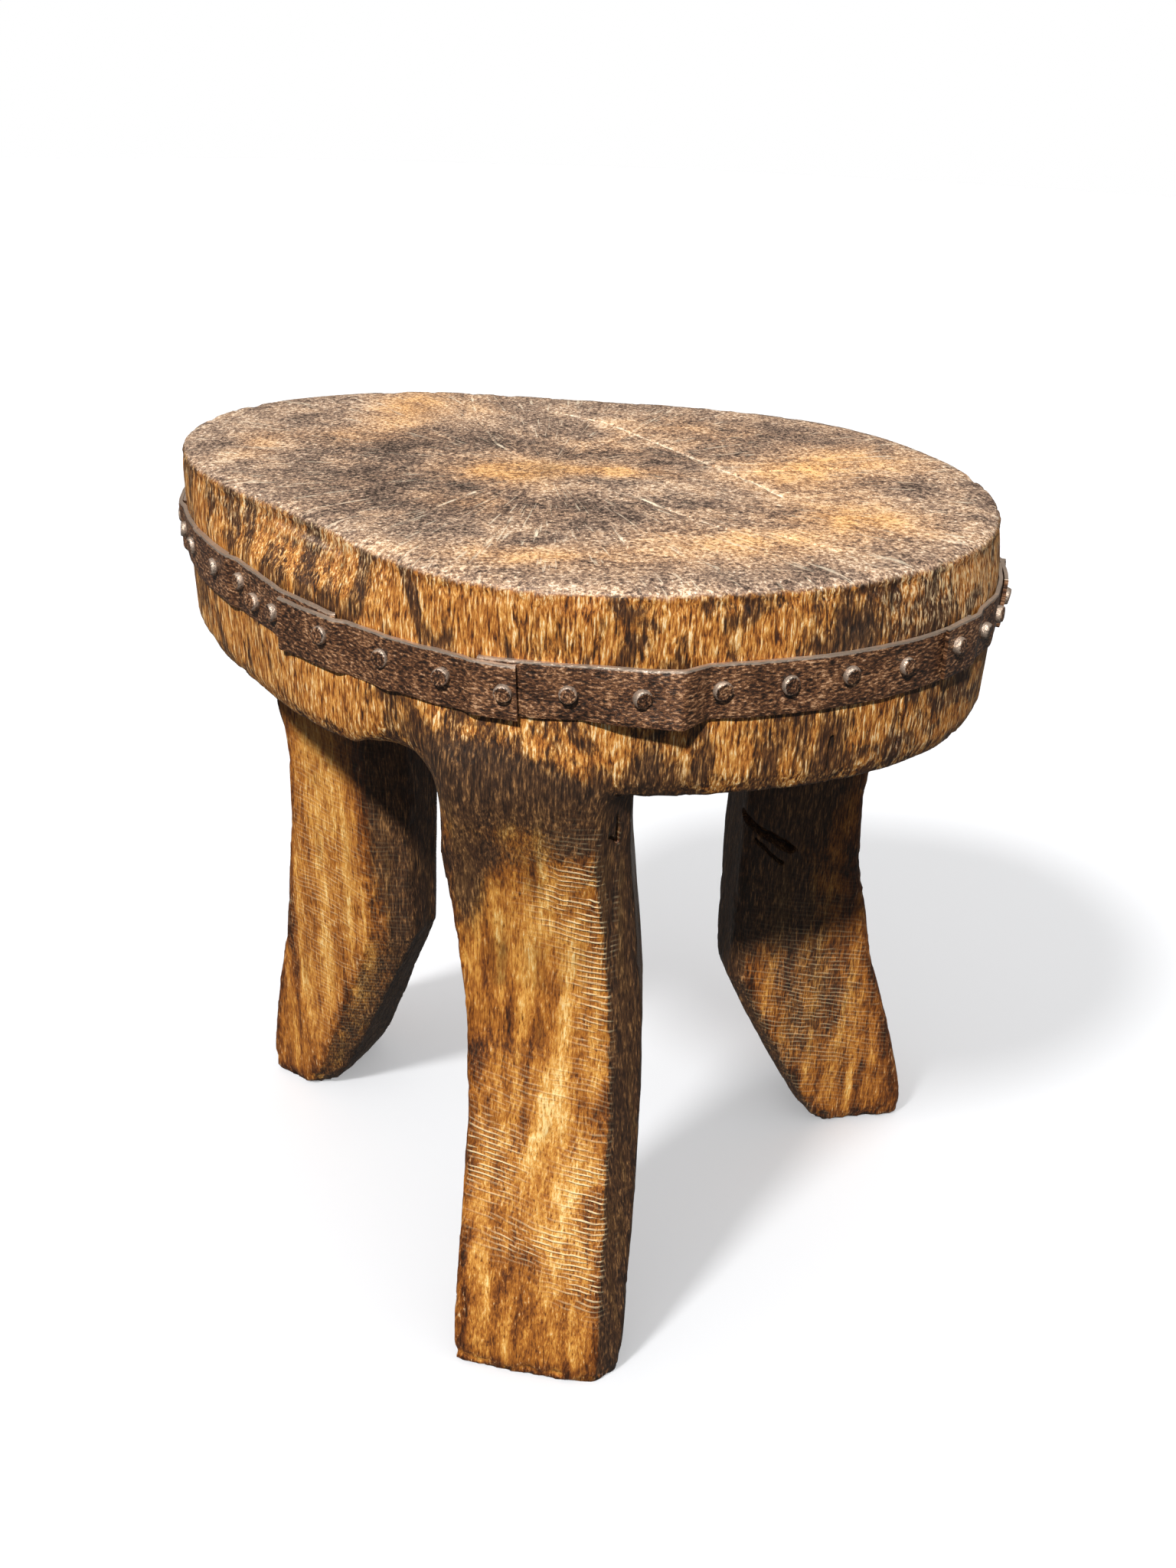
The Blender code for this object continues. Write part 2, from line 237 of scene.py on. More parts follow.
# %% Where the splits and nicks are
TOP = seat_top / MM
SEAT_CHECKS = [   # polyline in mm, half width
    ([(-19, 118), (10, 98), (50, 41), (74, 7), (84, -12)], 0.85),
    ([(-62, 140), (-56, 101), (-43, 56), (-30, 34)], 0.6),
    ([(41, 130), (24, 92), (10, 62)], 0.6),
    ([(-79, -80), (-62, -46), (-46, -20)], 0.6),
    ([(-41, -108), (-34, -75), (-28, -52)], 0.6),
    ([(12, -60), (16, -78), (18, -92)], 0.6),
    ([(20, -17), (32, -33), (60, -62)], 0.55),
    ([(76, -63), (98, -80)], 0.6),
    ([(60, 22), (104, 30), (140, 44)], 0.55),
    ([(-92, 25), (-118, 32)], 0.55),
    ([(-17, -50), (-18, -75)], 0.5),
]
SPLITS = [([(x, y, TOP) for x, y in line], half, 0.8) for line, half in SEAT_CHECKS] + [   # and depth
    ([(17.3, -128.8, 297), (17.8, -122, 282), (17.6, -120, 271)], 0.9, 3.0),
    ([(17.6, -120.5, 271), (14.5, -124, 275)], 0.7, 2.0),
    ([(84, 20, 206), (92, 12.5, 200), (101, 14.5, 194), (110, 16, 187)], 2.3, 5.0),
    ([(91, 12.6, 194), (98, 14, 187), (106, 15.4, 179)], 1.0, 2.6),
    ([(126, -101, 330), (127, -100, 312), (126, -101, 300)], 0.8, 2.4),
    ([(98, -115, 318), (97, -115, 298)], 0.7, 2.0),
    ([(-96, -90, 372), (-97, -89.5, 356)], 0.6, 1.6),
]


def distance_to(points_mm, line):
    best = np.full(len(points_mm), 1e9)
    for a, b in zip(line[:-1], line[1:]):
        a, b = np.array(a, float), np.array(b, float)
        along = b - a
        t = np.clip(((points_mm - a) @ along) / (along @ along), 0, 1)
        best = np.minimum(best, np.linalg.norm(points_mm - a - t[:, None] * along, axis=1))
    return best


def nearest_split(points_mm):
    return np.min([distance_to(points_mm, line) - half for line, half, deep in SPLITS], axis=0)


CUT_REACH = 1.3      # the skin is cut finer this far beside a split, in mm
bm = bmesh.new()
bm.from_mesh(log_body.data)
bmesh.ops.triangulate(bm, faces=bm.faces)
for longest in (1.1, 0.6):
    ends = np.array([(e.verts[0].co[:], e.verts[1].co[:]) for e in bm.edges]) / MM
    reach = nearest_split(ends.mean(1))
    length = np.linalg.norm(ends[:, 0] - ends[:, 1], axis=1)
    chosen = [e for e, r, s in zip(bm.edges, reach, length) if r < CUT_REACH and s > longest]
    bmesh.ops.subdivide_edges(bm, edges=chosen, cuts=1)
    bmesh.ops.triangulate(bm, faces=bm.faces)
bm.to_mesh(log_body.data)
bm.free()
print("skin beside the splits cut finer:", len(log_body.data.vertices), "points")

# %% [markdown]
# How far a point stands out from its smoothed neighbourhood says whether it is on an arris,
# where hands and boots wear the wood pale, or in a hollow, which the wood's colour paints
# darker. That measure is worked out once, by averaging neighbours a few times over.

# %% Arrises and hollows
def neighbour_mean(pairs, values):
    """The mean of the points that share an edge with each point."""
    ends = pairs.T.ravel()
    others = pairs[:, ::-1].T.ravel()
    sums = [np.bincount(ends, column[others], minlength=len(values)) for column in values.T]
    return np.stack(sums, 1) / np.bincount(ends, minlength=len(values))[:, None]


def stands_out(mesh, rounds):
    """How far each point stands proud of its smoothed neighbourhood."""
    pairs = rows_of(mesh.edges, "vertices", 2, np.int64)
    points = points_of(mesh)
    smoothed = points
    for _ in range(rounds):
        smoothed = neighbour_mean(pairs, smoothed)
    return np.sum((points - smoothed) * normals_of(mesh), axis=1)


def arris_and_hollow(mesh, rounds):
    proud = stands_out(mesh, rounds)
    return ramp01(proud, 0.10 * MM, 0.8 * MM), ramp01(-proud, 0.10 * MM, 0.8 * MM)


print("highest point stands", round(stands_out(log_body.data, 14).max() / MM, 2), "mm proud")

# %% [markdown]
# Each leg grows out of the seat in a soft fillet, where the axe turned. To get it, points
# there are drawn toward the mean of their neighbours, over and over. A weight says how far
# each may go, and only the points that may move are worked on, which keeps over a hundred
# rounds quick.

# %% Draw the roots of the legs into the seat
ROOTS = [(-81, 10, -200, -88), (135, 210, 8, 116), (-210, -135, 38, 138)]   # x and y span, mm
ROOT_FADES_IN = (258, 302)      # heights in mm
ROOT_FADES_OUT = (323.5, 329)
ROOT_ROUNDS = 110


def relax(mesh, points, weight, rounds):
    pairs = rows_of(mesh.edges, "vertices", 2, np.int64)
    pairs = pairs[(weight[pairs] > 0).any(1)]
    used, local = np.unique(pairs, return_inverse=True)
    local = local.reshape(-1, 2)
    part, share = points[used], weight[used][:, None]
    for _ in range(rounds):
        part += share * (neighbour_mean(local, part) - part)
    points[used[weight[used] > 0]] = part[weight[used] > 0]
    return points


def between(values, low, high, soft=8):
    rises = ramp01(values / MM, low - soft, low + soft)
    return rises * (1 - ramp01(values / MM, high - soft, high + soft))


P = points_of(log_body.data)
root = np.max([between(P[:, 0], *span[:2]) * between(P[:, 1], *span[2:]) for span in ROOTS], axis=0)
root *= ramp01(P[:, 2] / MM, *ROOT_FADES_IN) * (1 - ramp01(P[:, 2] / MM, *ROOT_FADES_OUT))
P = relax(log_body.data, P, root, ROOT_ROUNDS)
move_points(log_body.data, P)
N = normals_of(log_body.data)
arris = arris_and_hollow(log_body.data, 14)[0]
print("points drawn into the roots:", int((root > 0.3).sum()))

# %% [markdown]
# The hewing itself. Broad soft waves are the log's own shape; flatter strokes as wide as a
# blade are the adze and drawknife; thin upright ridges are the long grain standing proud
# where soft wood wore away; chips break the arrises. On the seat the same fibres are seen
# end-on, so its relief runs outward from the pith. Under the straps nothing is raised.

# %% Hew the surface
out = P[:, :2] - PITH
far = np.linalg.norm(out, axis=1)
heading = out / np.maximum(far, 1e-6)[:, None]
fan = np.c_[heading * 0.030, far]
z = P[:, 2]
rim_height = ramp01(z, seat_top - 12 * MM, seat_top - 8 * MM)
on_top = ramp01(N[:, 2], 0.45, 0.8) * ramp01(z, seat_top - 12 * MM, seat_top - 6 * MM)
under = ramp01(-N[:, 2], 0.5, 0.9)
band_z = 0.5 * sum(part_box(strap_names[3])[i].z for i in (0, 1))
clear_of_iron = 1 - np.exp(-((z - band_z) / (15 * MM)) ** 6) * (N[:, 2] < 0.5)
on_leg = 1 - ramp01(z, 0.286, 0.300)

# every lift below is in mm
wave = 0.9 * ripple(P, (48, 48, 80), 3) + 0.45 * ripple(P, (21, 21, 44), 4)
strokes = -np.abs(ripple(P, (15, 15, 42), 5)) + 0.35
grain = ripple(P, (3.4, 3.4, 34), 6) + 0.6 * ripple(P, (2.2, 2.2, 16), 7)
fan_relief = ripple(fan, (1.6, 1.6, 30), 8) + 0.8 * ripple(P, (9, 9, 9), 9)
worn_seat = 0.9 * ripple(P, (70, 70, 70), 10) - 0.8 * np.exp(-(far / 0.10) ** 2)
chip = np.clip(ripple(P, (6, 6, 9), 11) + 0.5 * ripple(P, (2.6, 2.6, 4), 12) - 0.15, 0, 1)
push = (1 - on_top) * (wave * 0.8 + strokes * 0.7 * (0.4 + 0.6 * on_leg) + grain * 0.20)
push += on_top * (worn_seat + fan_relief * 0.13)
push *= np.where(push > 0, clear_of_iron, 0.3 + 0.7 * clear_of_iron) * (1 - 0.6 * under)
push += 1.9 * np.exp(-((N[:, 2] - 0.68) / 0.24) ** 2) * rim_height      # a crisp rim
push -= 0.9 * chip * arris * clear_of_iron

sole = ramp01(0.016 - z, 0, 0.012)
push -= sole * arris * (1.2 + 1.6 * ripple(P, (7, 7, 7), 13)) * (z > 0.0008)
ragged_rim = blobs(P, [(-120, -70, 372, 60, 45, 12, 1.0), (120, -95, 370, 55, 40, 14, 1.2)])
fibre = ripple(np.c_[np.arctan2(out[:, 1], out[:, 0]) * 0.15, z, z * 0], (1.9, 9, 9), 14)
push -= np.clip(fibre + 0.1, 0, 1) * ragged_rim * (1 - on_top) * clear_of_iron * 0.9
for line, half, deep in SPLITS:
    wander = distance_to((P + 0.0006 * ripple(P, (4, 4, 6), 15)[:, None]) / MM, line)
    push -= deep * np.clip(1 - wander / (half * 1.25), 0, 1) ** 0.8

hewn = P + N * (push * MM)[:, None]
hewn[:, 2] = np.maximum(hewn[:, 2], 0.0)
hewn[z < 0.0004, 2] = z[z < 0.0004]      # the soles stay flat on the floor
move_points(log_body.data, hewn)
print("surface moved by", push.min().round(2), "to", push.max().round(2), "mm")
# %% [markdown]
# The skin now has more triangles than it needs on its calm parts. Decimate folds edges
# away where that changes the shape least, so splits and chips keep their points.

# %% Lighten the mesh
TRIANGLE_LIMIT = 192000
triangles = sum(len(p.vertices) - 2 for p in log_body.data.polygons)
if triangles > TRIANGLE_LIMIT:
    lighten = log_body.modifiers.new("lighten", "DECIMATE")
    lighten.ratio = TRIANGLE_LIMIT / triangles
    settle(log_body)
shade_smooth(log_body.data)
print("log triangles:", triangles, "->", len(log_body.data.polygons))
# %% [markdown]
# Paint maps. Smoke, sweat and floor wax stained this stool unevenly, and those stains have
# places: soot where the front leg meets the seat, orange heartwood round the pith, honey
# colour down the front leg. The soot map is partly painted shade: it also darkens the front
# leg's root where it curves under the seat, faces that turn inward between the legs or face
# down, the front leg's right side, the seat's underside and the shaded tops of the other
# legs. Each is stored on the points as a named value between 0 and 1, which the wood's
# material then breaks up with fine grain so that no patch has a soft edge.

# %% Stains, painted shade, honey patches and wear, stored on the points
def on_seat(spots):
    return [(x, y, TOP, wide, deep, 9, strength) for x, y, wide, deep, strength in spots]


def store(mesh, name, values, kind="FLOAT", field="value"):
    """Keeps a value, or a vector, for each point, under a name that a material can read."""
    attribute = mesh.attributes.new(name, kind, "POINT")
    attribute.data.foreach_set(field, np.ravel(values).astype(np.float32))


# soot patches; many are painted shade: the shaded tops of the right and left legs, the front leg's right
# side and the seat's underside
SOOT_AND_PAINTED_SHADE = [
    (-40, -122, 311, 22, 30, 9, 0.85), (-12, -128, 299, 28, 30, 13, 1.15),
    (4, -128, 281, 17, 30, 13, 1.0), (-40, -118, 290, 22, 30, 16, 1.0),
    (-26, -118, 266, 30, 30, 12, 0.62), (-44, -116, 250, 10, 30, 20, 0.5),
    (-30, -120, 190, 9, 30, 24, 0.25), (-42, -118, 240, 9, 30, 30, 0.55),
    (-44, -135, 120, 7, 30, 60, 0.45), (12, -153, 36, 20, 30, 12, 0.2), (-30, -150, 16, 26, 30, 9, 0.3),
    (-20, -130, 165, 30, 30, 14, 0.3), (90, 14, 215, 30, 30, 60, 0.9), (115, 16, 240, 34, 30, 50, 0.8),
    (78, 40, 150, 12, 40, 90, 0.8), (128, 20, 90, 40, 20, 80, 0.62), (105, 15, 150, 26, 20, 26, 0.5),
    (-84, 18, 130, 14, 12, 60, 0.55), (-100, 15, 230, 24, 14, 60, 0.5),
    (-120, 25, 265, 30, 20, 25, 0.5), (28, -120, 200, 8, 26, 170, 0.75),
    (30, -90, 180, 14, 45, 170, 0.8), (-83, -97, 362, 12, 16, 22, 0.5),
    (-122, -66, 352, 10, 16, 14, 0.45), (61, -125, 372, 10, 16, 16, 0.28),
    (-52, -115, 352, 12, 16, 8, 0.35), (-104, -80, 352, 12, 18, 12, 0.6),
    (-70, -105, 318, 12, 18, 14, 0.5), (46, -128, 306, 9, 16, 16, 0.5),
    (88, -118, 306, 14, 16, 14, 0.45), (104, -113, 360, 16, 16, 18, 0.85),
    (138, -90, 352, 18, 20, 14, 0.55), (102, -113, 316, 9, 16, 18, 0.3),
    (71, -123, 312, 8, 16, 20, 0.28), (128, -99, 318, 8, 16, 24, 0.33),
    (-136, -41, 362, 12, 20, 18, 0.22), (150, -70, 318, 14, 24, 24, 0.22),
    (-160, 10, 320, 16, 30, 24, 0.22), (0, 0, 296, 150, 110, 5, 0.55),
]
HONEY = [
    (-32, -119, 246, 15, 30, 26, 0.7), (-13, -121, 199, 17, 30, 32, 0.6),
    (-5, -134, 121, 17, 30, 30, 1.1), (-14, -141, 82, 20, 30, 20, 1.0), (5, -125, 160, 16, 30, 22, 0.5),
    (6, -148, 60, 14, 26, 16, 0.6), (-8, -125, 225, 20, 30, 14, 0.5), (-152, -28, 325, 14, 20, 22, 0.8),
    (-73, -104, 358, 11, 16, 18, 0.8), (-31, -126, 368, 14, 16, 9, 0.8),
    (31, -130, 314, 17, 16, 15, 0.9), (57, -126, 314, 13, 16, 15, 0.8),
    (82, -120, 364, 16, 16, 10, 0.8), (-109, -79, 320, 17, 20, 20, 0.8),
    (-88, -96, 322, 13, 18, 18, 0.7), (30, -131, 368, 16, 16, 10, 0.7),
    (-1, -131, 312, 14, 16, 12, 0.7), (-131, 28, 160, 22, 16, 70, 0.7), (-142, 36, 70, 22, 16, 50, 0.6),
    (-128, -58, 366, 16, 20, 10, 0.6), (140, -84, 366, 20, 22, 14, 0.5),
]
HEARTWOOD = on_seat([
    (-36, 11, 24, 20, 1.15), (12, 16, 30, 11, 1.0), (-92, 112, 20, 44, 0.95), (-58, 122, 14, 22, 0.4),
    (40, 92, 36, 24, 0.5), (92, 20, 30, 26, 0.85), (110, -40, 34, 26, 0.95), (60, -76, 40, 20, 0.75),
    (-20, -98, 50, 14, 0.7), (126, 50, 34, 24, 0.75), (-46, -36, 16, 12, 0.4), (10, 58, 30, 16, 0.3),
    (-150, 40, 10, 24, 0.6), (-118, 60, 18, 14, 0.4),
])
SHADE = on_seat([
    (-84, -12, 46, 40, 0.8), (-90, 50, 40, 26, 0.6), (10, 40, 40, 14, 0.7), (-10, -40, 60, 22, 0.6),
    (60, 60, 26, 26, 0.4), (-40, 60, 30, 16, 0.5), (90, 90, 40, 22, 0.5), (140, 10, 30, 20, 0.35),
])
SAW = [
    (6, -122, 248, 17, 30, 22, 1.1), (12, -124, 205, 9, 30, 34, 0.9), (-32, -130, 112, 13, 30, 19, 1.3),
    (14, -140, 96, 12, 30, 26, 1.5), (-12, -145, 74, 26, 30, 9, 0.8), (14, -150, 58, 14, 30, 14, 1.1),
    (-6, -125, 150, 30, 30, 12, 0.3), (134, 20, 80, 40, 20, 60, 0.35), (-131, 28, 140, 30, 20, 90, 0.3),
]
FRAYED = [
    (-128, -60, 372, 46, 48, 12, 0.9), (-90, -92, 374, 36, 28, 10, 0.8),
    (128, -92, 366, 44, 34, 22, 1.1), (160, -50, 368, 30, 44, 20, 0.8),
    (-12, -133, 376, 80, 14, 5, 0.5), (-160, 20, 370, 20, 50, 12, 0.6),
    (130, -98, 312, 26, 20, 22, 0.8), (22, -108, TOP, 26, 9, 9, 0.6), (0, 140, 372, 150, 30, 10, 0.5),
    (158, -62, 316, 20, 30, 24, 0.5),
]

P = points_of(log_body.data)
N = normals_of(log_body.data)
z = P[:, 2]
brow, hollow = arris_and_hollow(log_body.data, 10)
arris = ramp01(stands_out(log_body.data, 3), 0.10 * MM, 0.34 * MM)
seat_face = ramp01(N[:, 2], 0.35, 0.75) * ramp01(z, seat_top - 14 * MM, seat_top - 7 * MM)
outward = (P[:, :2] - HEART) / np.linalg.norm(P[:, :2] - HEART, axis=1)[:, None]
inward = -np.sum(N[:, :2] * outward, axis=1)
legs = 1 - ramp01(z, 0.284, 0.302)
# painted shade: on the legs, faces turned in between the legs, faces turned down and the front leg's right
# side are darkened as if unlit
front_side = ramp01(N[:, 0], 0.22, 0.50) * (np.abs(P[:, 0]) < 0.06) * (P[:, 1] < -0.06)
inner_painted_shade = 0.8 * front_side + 0.75 * ramp01(inward, -0.15, 0.5) + 0.5 * ramp01(-N[:, 2], 0.25, 0.6)
level = np.c_[P[:, :2], np.where(seat_face > 0.4, seat_top, z)] / MM
long_check = np.exp(-(distance_to(level, SPLITS[0][0]) / 1.2) ** 2)
short_checks = np.exp(-(np.clip(nearest_split(level) + 0.3, 0, 9) / 0.7) ** 2)
paint = {
    "seat_face": seat_face,
    "arris": arris * (1 - 0.6 * seat_face),
    "brow": brow,
    "check": np.maximum((0.55 + 0.4 * ripple(P, (11, 11, 11), 32)) * long_check,
                        (0.42 + 0.25 * ripple(P, (9, 9, 9), 31)) * short_checks),
    "hollow": hollow,
    "soot": np.clip(blobs(P, SOOT_AND_PAINTED_SHADE) + legs * inner_painted_shade, 0, 1),
    "honey": np.clip(blobs(P, HONEY), 0, 1),
    "heartwood": np.clip(blobs(P, HEARTWOOD), 0, 1) * seat_face,
    "shade": np.clip(blobs(P, SHADE), 0, 1) * seat_face,
    "saw": np.clip(blobs(P, SAW), 0, 1) * ramp01(-N[:, 1], 0.72, 0.88),
    "frayed": np.clip(blobs(P, FRAYED), 0, 1) * (1 - 0.85 * ramp01(N[:, 2], 0.25, 0.6)),
    "leg": legs,
}
for name, values in paint.items():
    store(log_body.data, name, values)
    print("paint map", name, "mean", round(float(values.mean()), 3))

# %% [markdown]
# The wood: a pale hardwood such as beech or birch, hewn, smoked and waxed by handling. One
# log means one pattern. Fibres run upright through the whole stool, so the grain is drawn
# in the solid: fine across, six or seven times longer upright. Sides then show
# streaks, and the seat shows the same fibres end-on, with rays and checks from the pith.

# %% Wood: hewn, smoke-stained hardwood
hewn_wood = new_material("hewn_smoked_hardwood")
put = partial(add_node, hewn_wood.node_tree)
place = put("ShaderNodeTexCoord", out="Object")
maps = {name: put("ShaderNodeAttribute", {"attribute_name": name}, out="Fac") for name in paint}
LONG_GRAIN = [   # lumps in a metre across and upright, then detail, roughness, distortion
    (520, 84, 6.0, 0.68, 0.9),      # streaks 2 mm wide and 12 mm long
    (1300, 190, 3.0, 0.62, 0.0),    # fibres 0.8 mm wide and 5 mm long
    (110, 8, 3.0, 0.50, 0.6),       # bands 9 mm wide and 125 mm long
    (46, 25, 5.0, 0.62, 1.3),       # stains 22 mm wide and 40 mm high
    (75, 520, 2.0, 0.50, 0.0),      # what breaks a saw stroke up, 13 mm wide
]
streak, fibre_noise, bands, stain_cloud, rung_noise = [
    put("ShaderNodeTexNoise", inputs={
        "Vector": put("ShaderNodeMapping", inputs={"Vector": place, "Scale": (across, across, upright)}),
        "Scale": 1.0, "Detail": detail, "Roughness": roughness, "Distortion": distortion})
    for across, upright, detail, roughness, distortion in LONG_GRAIN]
print("wood: long grain in", len(LONG_GRAIN), "scales")

# %% [markdown]
# The long grain has two stains, honey and dark brown, that meet along ragged edges, as old
# wax and smoke soak in unevenly. A mask picks between them: cloud plus a little streak,
# lifted by the honey map and dropped by the soot and painted shade map. The legs were handled
# less and take a calmer range of tones, in broad upright bands. Soot and painted shade then
# lie over both.

# %% Wood: honey, dark stain, soot and painted shade of the long grain
stain = weighted_sum(put, -0.21, (streak, 0.42), (stain_cloud, 1.0), (maps["honey"], 0.16),
                     (maps["soot"], -0.30), (maps["leg"], 0.05))
hard_edge = put("ShaderNodeMapRange", SMOOTH, {"Value": stain, **limits(0.385, 0.53)})
fine = put("ShaderNodeMapRange", inputs={
    "Value": weighted_sum(put, -0.10, (streak, 0.65), (fibre_noise, 0.60)),
    **limits(0.38, 0.66)})
honey_colour = put("ShaderNodeValToRGB", {"stops": [
    (0.00, "#3C1D0A"), (0.25, "#80481A"), (0.52, "#B97631"), (0.78, "#E0A85A"),
    (1.00, "#FAE2B4")]}, {"Fac": fine})
dark_colour = put("ShaderNodeValToRGB", {"stops": [
    (0.00, "#1C0E06"), (0.38, "#432713"), (0.72, "#734A26"), (1.00, "#B58449")]}, {"Fac": fine})
leg_tone = weighted_sum(put, -0.78, (bands, 1.35), (fine, 0.46), (stain_cloud, 0.62),
                        (maps["honey"], 0.22), (maps["brow"], -0.22))
leg_colour = put("ShaderNodeValToRGB", {"stops": [
    (0.00, "#2C1506"), (0.25, "#693812"), (0.50, "#A56624"), (0.76, "#D49A48"),
    (1.00, "#F4D693")]}, {"Fac": leg_tone})
line_mask = put("ShaderNodeMapRange", SMOOTH, {"Value": fibre_noise, **limits(0.28, 0.40, 0.70, 0.0)})
# soot and painted shade: dark patches with ragged edges where the soot map, painted shade included, is
# strong
soot_and_shade_edge = weighted_sum(put, -0.55, (streak, 1.1), (stain_cloud, -0.7), (maps["soot"], 1.0),
                         (fine, -0.34))
soot_and_shade_mask = put("ShaderNodeMapRange", SMOOTH, {"Value": soot_and_shade_edge, **limits(-0.24, 0.32, 0.0, 0.92)})
soot_and_shade_colour = put("ShaderNodeValToRGB", {"stops": [
    (0.00, "#1A1009"), (0.45, "#38261A"), (0.78, "#5E432C"), (1.00, "#987048")]}, {"Fac": fine})
side_colour = dark_colour
for mask, over in ((hard_edge, honey_colour), (maps["leg"], leg_colour),
                   (line_mask, linear("#2A170B")), (soot_and_shade_mask, soot_and_shade_colour)):
    side_colour = put("ShaderNodeMix", COLOURS, {0: mask, 6: side_colour, 7: over}, 2)
print("wood: side colours ready")

# %% [markdown]
# End grain drinks in dirt and stain, so the seat is browner and greyer than the sides. A
# direction from the pith, kept at a fixed length, is used as noise space: it changes only
# when you go round the pith, so the noise becomes rays. Distance from the pith is the
# third axis, which cuts the rays into lengths.

# %% Wood: rays, pores and checks of the seat
from_pith = put("ShaderNodeVectorMath", {"operation": "SUBTRACT"}, {0: place, 1: (*PITH, 0)})
flat = put("ShaderNodeVectorMath", TIMES, {0: from_pith, 1: (1, 1, 0)})
reach = put("ShaderNodeVectorMath", {"operation": "LENGTH"}, {0: flat}, "Value")
direction = put("ShaderNodeVectorMath", {"operation": "NORMALIZE"}, {0: flat})
ray_length = put("ShaderNodeCombineXYZ", inputs={"Z": reach})
rays = {}
for name, round_scale, length_scale, detail in (
        ("broad", 5, 22, 3), ("fine", 26, 60, 4), ("hair", 60, 45, 2)):
    fanned = put("ShaderNodeVectorMath", {"operation": "SCALE"}, {0: direction, "Scale": round_scale})
    stretched = put("ShaderNodeVectorMath", {"operation": "MULTIPLY_ADD"}, {
        0: ray_length, 1: (length_scale,) * 3, 2: fanned})
    rays[name] = put("ShaderNodeTexNoise", inputs={
        "Vector": stretched, "Scale": 1.0, "Detail": float(detail), "Roughness": 0.6, "Distortion": 0.25})
mottle = put("ShaderNodeTexNoise", inputs={
    "Vector": place, "Scale": 42.0, "Detail": 6.0, "Roughness": 0.68, "Distortion": 0.5})
pores = put("ShaderNodeTexNoise", inputs={
    "Vector": place, "Scale": 560.0, "Detail": 3.0, "Roughness": 0.8})
RINGS_PER_METRE = 1100.0 / math.tau
ring_wave = weighted_sum(put, 0.0, (reach, math.tau * RINGS_PER_METRE), (mottle, 9.0))
rings = put("ShaderNodeMath", {"operation": "SINE"}, {0: ring_wave})
print("seat: rays in", len(rays), "widths, rings", round(1000 / RINGS_PER_METRE, 1), "mm apart")

# %% [markdown]
# The seat's tone adds rays, mottling, pores and a hint of year rings, then the heartwood
# and shade maps pull it to orange or to near black. Pale hair-thin rays are where drying
# checks have filled with dust, and where the grey surface has been scratched through.

# %% Wood: colour of the seat
top_tone = put("ShaderNodeMapRange", inputs={
    "Value": weighted_sum(put, -0.17, (rays["broad"], 0.20), (rays["fine"], 0.24), (mottle, 0.95),
                          (pores, 1.75), (rings, 0.012), (maps["heartwood"], 0.22),
                          (maps["shade"], -0.20)),
    **limits(1.06, 1.72)})
top_colour = put("ShaderNodeValToRGB", {"stops": [
    (0.00, "#2E221C"), (0.24, "#5E4C42"), (0.45, "#8C7566"), (0.62, "#B0947E"),
    (0.80, "#D8BFA6"), (1.00, "#FAF0E2")]}, {"Fac": top_tone})
orange = put("ShaderNodeMix", {"data_type": "RGBA", "blend_type": "MULTIPLY"}, {
    0: 1.0, 6: top_colour, 7: linear("#FFD8A2")}, 2)
orange_mask = weighted_sum(put, -0.74, (mottle, 1.6), (maps["heartwood"], 1.0))
ray_dust = put("ShaderNodeMapRange", SMOOTH, {"Value": rays["hair"], **limits(0.62, 0.69, 0.0, 0.50)})
broken_check = put("ShaderNodeMath", TIMES, {0: maps["check"], 1: rays["fine"]})
check_dust = put("ShaderNodeMapRange", SMOOTH, {"Value": broken_check, **limits(0.12, 0.36, 0.0, 0.95)})
dust = put("ShaderNodeMath", {"operation": "MAXIMUM"}, {0: ray_dust, 1: check_dust})
for mask, over in ((orange_mask, orange), (dust, linear("#F6E8D0"))):
    top_colour = put("ShaderNodeMix", COLOURS, {0: mask, 6: top_colour, 7: over}, 2)
print("seat: colour built")

# %% [markdown]
# Seat and sides are joined by the seat map. On top of both come wear and darker hollows:
# arrises go pale where the stain is rubbed off, frayed rims show dry fibres, hollows and
# splits go dark, and the saw's strokes across the legs leave a ladder of pale lines, like rungs.

# %% Wood: wear, darker hollows and saw strokes
RUNG_PITCH = 2.6 * MM
warp = put("ShaderNodeTexNoise", inputs={"Vector": place, "Scale": 28.0, "Detail": 2.0})
axes = put("ShaderNodeSeparateXYZ", inputs={0: place}).node.outputs
rung_phase = put("ShaderNodeMath", TIMES, {
    0: weighted_sum(put, axes["Z"], (axes["X"], 0.22), (warp, 0.010)), 1: math.tau / RUNG_PITCH})
rungs = put("ShaderNodeMath", {"operation": "SINE"}, {0: rung_phase})
rung_crest = put("ShaderNodeMapRange", SMOOTH, {"Value": rungs, **limits(0.05, 0.90)})
saw_break = put("ShaderNodeMapRange", inputs={"Value": rung_noise, **limits(0.38, 0.58)})
saw_lines = 0.85
for part in (maps["saw"], saw_break, rung_crest):
    saw_lines = put("ShaderNodeMath", TIMES, {0: part, 1: saw_lines})
wear_noise = weighted_sum(put, -1.75, (fibre_noise, 2.4), (streak, 1.2), (maps["arris"], 0.10),
                          (maps["frayed"], 0.34), (maps["soot"], -0.30))
wear = put("ShaderNodeMapRange", SMOOTH, {"Value": wear_noise, **limits(0.30, 0.75, 0.0, 0.70)})
side_only = put("ShaderNodeMath", {"operation": "SUBTRACT"}, {0: 1.0, 1: maps["seat_face"]})
